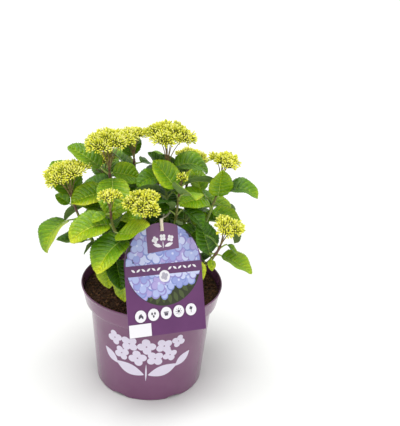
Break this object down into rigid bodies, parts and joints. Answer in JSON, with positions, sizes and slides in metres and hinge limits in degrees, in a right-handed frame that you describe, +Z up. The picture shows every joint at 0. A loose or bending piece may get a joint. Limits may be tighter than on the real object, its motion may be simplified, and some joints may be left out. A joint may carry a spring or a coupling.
{
  "type": "potted hydrangea shrub",
  "caption": "Bushy mophead hydrangea in bud, broad toothed leaves and flat green unopened flower heads on short canes, in a round mauve nursery pot with a tied arched label.",
  "frame": {"origin": "middle of the pot's flat underside, on the surface it stands on", "axes": "+Z up through the pot and the stem, -Y towards the side with the label, +X to the right of it"},
  "size_m": [0.3382, 0.3427, 0.4337],
  "materials": {
    "pot_plastic": "satin moulded plastic, mauve",
    "peat": "damp crumbly peat",
    "label": "semi-gloss printed card, purple",
    "string": "twisted cotton",
    "bark": "pale flaking bark",
    "leaves": "satin leaf, mid to yellow green",
    "buds": "matt yellow-green buds"
  },
  "bodies": {
    "root": {"cane_back": "bark", "cane_back_left": "bark", "cane_back_right": "bark", "cane_front": "bark", "cane_front_left": "bark", "cane_front_right": "bark", "cane_left": "bark", "cane_right": "bark", "flower_head_back": "buds", "flower_head_back_left": "buds", "flower_head_back_right": "buds", "flower_head_centre_right": "buds", "flower_head_front": "buds", "flower_head_front_left": "buds", "flower_head_left": "buds", "flower_head_right": "buds", "flower_head_right_low": "buds", "flower_head_top": "buds", "flower_head_upper_back": "buds", "flower_head_upper_left": "buds", "foliage_back": "leaves", "foliage_back_left": "leaves", "foliage_back_left_low": "leaves", "foliage_back_right": "leaves", "foliage_centre_right": "leaves", "foliage_front": "leaves", "foliage_front_left": "leaves", "foliage_front_left_low": "leaves", "foliage_front_right_low": "leaves", "foliage_left": "leaves", "foliage_right": "leaves", "foliage_right_back": "leaves", "foliage_right_low": "leaves", "foliage_top": "leaves", "foliage_upper_back": "leaves", "foliage_upper_left": "leaves", "label_card": "label", "label_tie": "string", "pot": "pot_plastic", "soil": "peat", "stem_base": "bark"}
  },
  "joints": []
}
